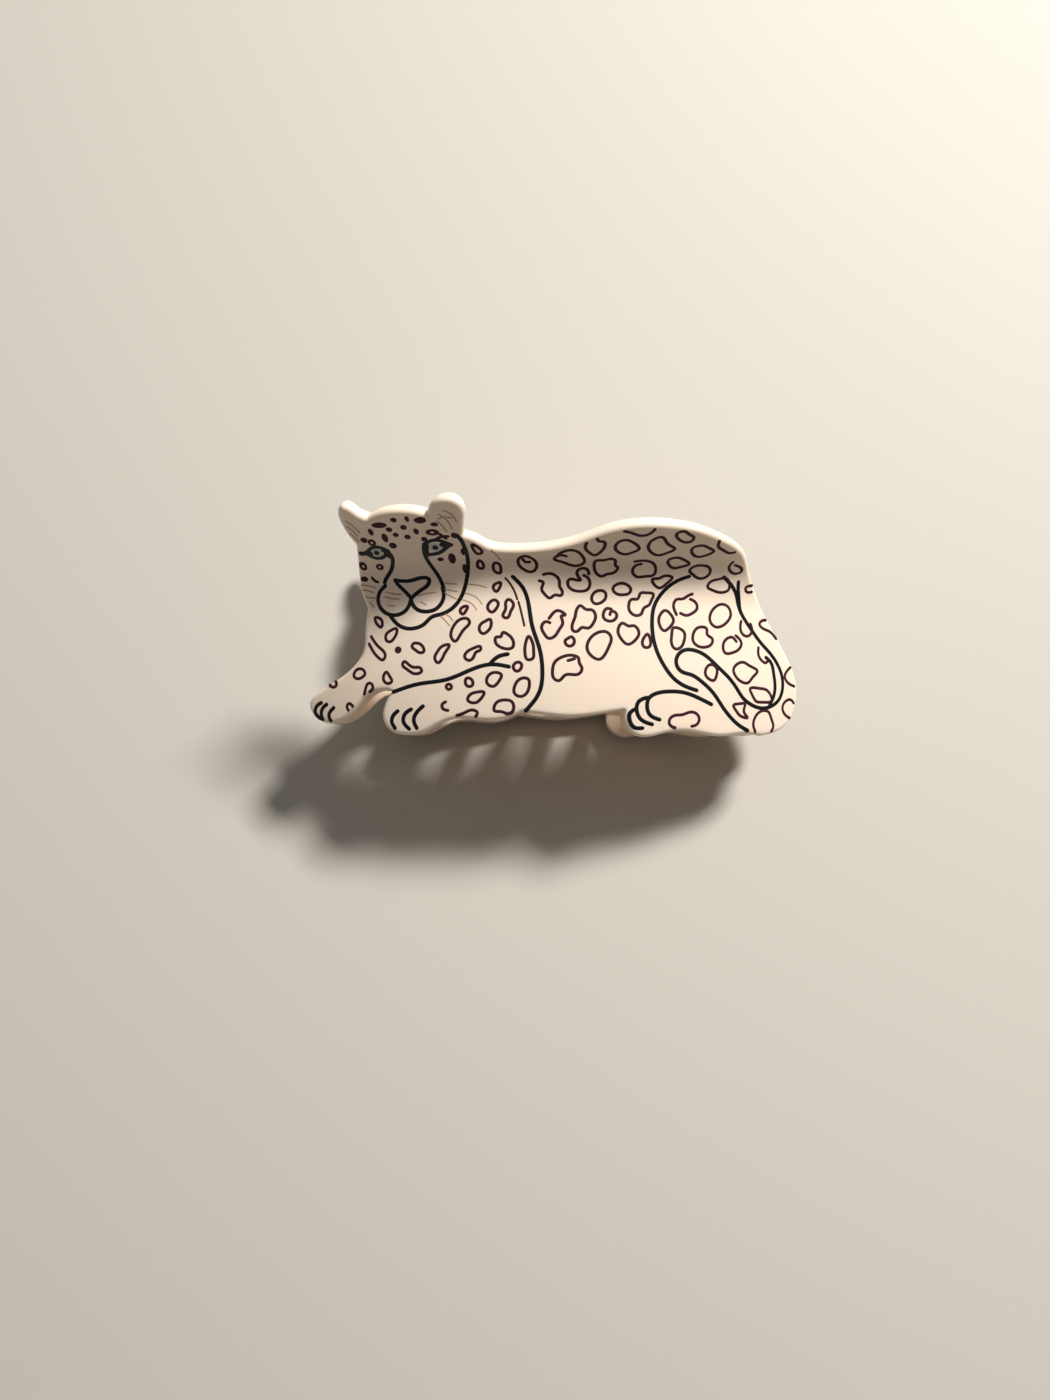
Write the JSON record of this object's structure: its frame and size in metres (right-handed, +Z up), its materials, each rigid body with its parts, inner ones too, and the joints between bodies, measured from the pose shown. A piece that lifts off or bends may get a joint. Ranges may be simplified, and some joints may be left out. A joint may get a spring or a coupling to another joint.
{
  "type": "hair claw clip",
  "caption": "Sprung hair claw with two bowed acetate jaws cut and enamelled as a lying leopard, with curved comb teeth inside and a riveted steel hinge.",
  "frame": {"origin": "bottom centre of the closed clip's bounding box, as it lies on its rear jaw", "axes": "+X from the leopard's head to its tail, near the hinge pin's line; +Y from the teeth side to the handles; +Z up, the way the front jaw faces"},
  "size_m": [0.1168, 0.0636, 0.0653],
  "materials": {
    "acetate": "polished cream cellulose acetate",
    "iris_enamel": "grey-white enamel",
    "black_enamel": "black enamel",
    "plated_steel": "nickel-plated steel strip",
    "rivet_steel": "plated steel",
    "spring_steel": "plated spring wire"
  },
  "bodies": {
    "rear_jaw": {"rear_plate": "acetate", "rear_comb": "acetate", "rear_eye_enamel": "iris_enamel", "rear_pupil_enamel": "black_enamel", "rear_bracket_left": "plated_steel", "rear_bracket_right": "plated_steel", "hinge_pin": "plated_steel", "pin_end_cap": "plated_steel", "rear_bracket_rivets": "rivet_steel", "spring_left": "spring_steel", "spring_right": "spring_steel"},
    "front_jaw": {"front_plate": "acetate", "front_comb": "acetate", "front_eye_enamel": "iris_enamel", "front_pupil_enamel": "black_enamel", "front_bracket_left": "plated_steel", "front_bracket_right": "plated_steel", "front_bracket_rivets": "rivet_steel"}
  },
  "joints": [
    {"name": "jaw_hinge", "type": "hinge", "parent": "rear_jaw", "child": "front_jaw", "pos_m": [0.00038, 0.0062, 0.02787], "axis": [-0.9994, 0, 0.0345], "range_deg": [0, 50], "stiffness_Nm_per_rad": 0.15, "springref_deg": -45.84, "deforming": ["spring_left", "spring_right"]}
  ]
}
